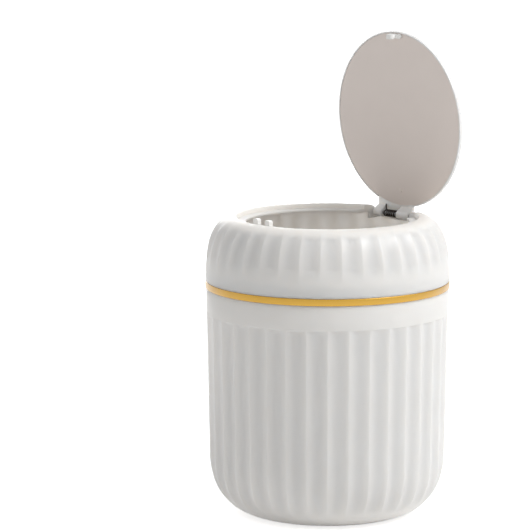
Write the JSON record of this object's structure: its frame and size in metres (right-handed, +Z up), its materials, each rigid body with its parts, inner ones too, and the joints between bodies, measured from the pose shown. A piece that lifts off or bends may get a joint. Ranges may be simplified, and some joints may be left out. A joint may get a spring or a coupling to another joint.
{
  "type": "push-to-open desktop bin",
  "caption": "Round fluted desktop bin with a rounded bottom, a plated ring, a domed lift-off collar and a sprung round lid held by a push latch.",
  "frame": {"origin": "centre of the foot, on the surface that the bin stands on", "axes": "+Z up, the push latch towards -Y, the hinge towards +Y with its pin along X"},
  "size_m": [0.141, 0.141, 0.2761],
  "materials": {
    "white_body": "satin",
    "white_lid": "gloss",
    "lid_inner": "satin",
    "plated_gold": "polished",
    "latch_plastic": "satin",
    "pin_steel": "bright",
    "spring_steel": "oiled"
  },
  "bodies": {
    "bucket": {"bucket": "white_body", "gold_ring": "plated_gold"},
    "collar": {"collar": "white_body", "hinge_pin": "pin_steel", "torsion_spring": "spring_steel", "latch_housing": "latch_plastic", "latch_base": "latch_plastic", "latch_spring": "spring_steel", "latch_follower": "pin_steel"},
    "lid": {"lid_cap": "white_lid", "lid_panel": "lid_inner", "lid_striker": "latch_plastic"},
    "latch_slider": {"latch_slider": "latch_plastic"}
  },
  "joints": [
    {"name": "collar_lift", "type": "slide", "parent": "bucket", "child": "collar", "axis": [0, 0, 1], "range_m": [0, 0.03]},
    {"name": "lid_hinge", "type": "hinge", "parent": "collar", "child": "lid", "pos_m": [0, 0.056, 0.1684], "axis": [-1, 0, 0], "range_deg": [-87, 0], "stiffness_Nm_per_rad": 0.014, "springref_deg": 45.84, "deforming": ["torsion_spring"]},
    {"name": "latch_slide", "type": "slide", "parent": "collar", "child": "latch_slider", "axis": [0, 0, 1], "range_m": [-0.0062, 0], "deforming": ["latch_spring"]}
  ],
  "couplings": [
    {"joint": "latch_slide", "follows": "lid_hinge", "m_per_rad": 0.0040831}
  ]
}
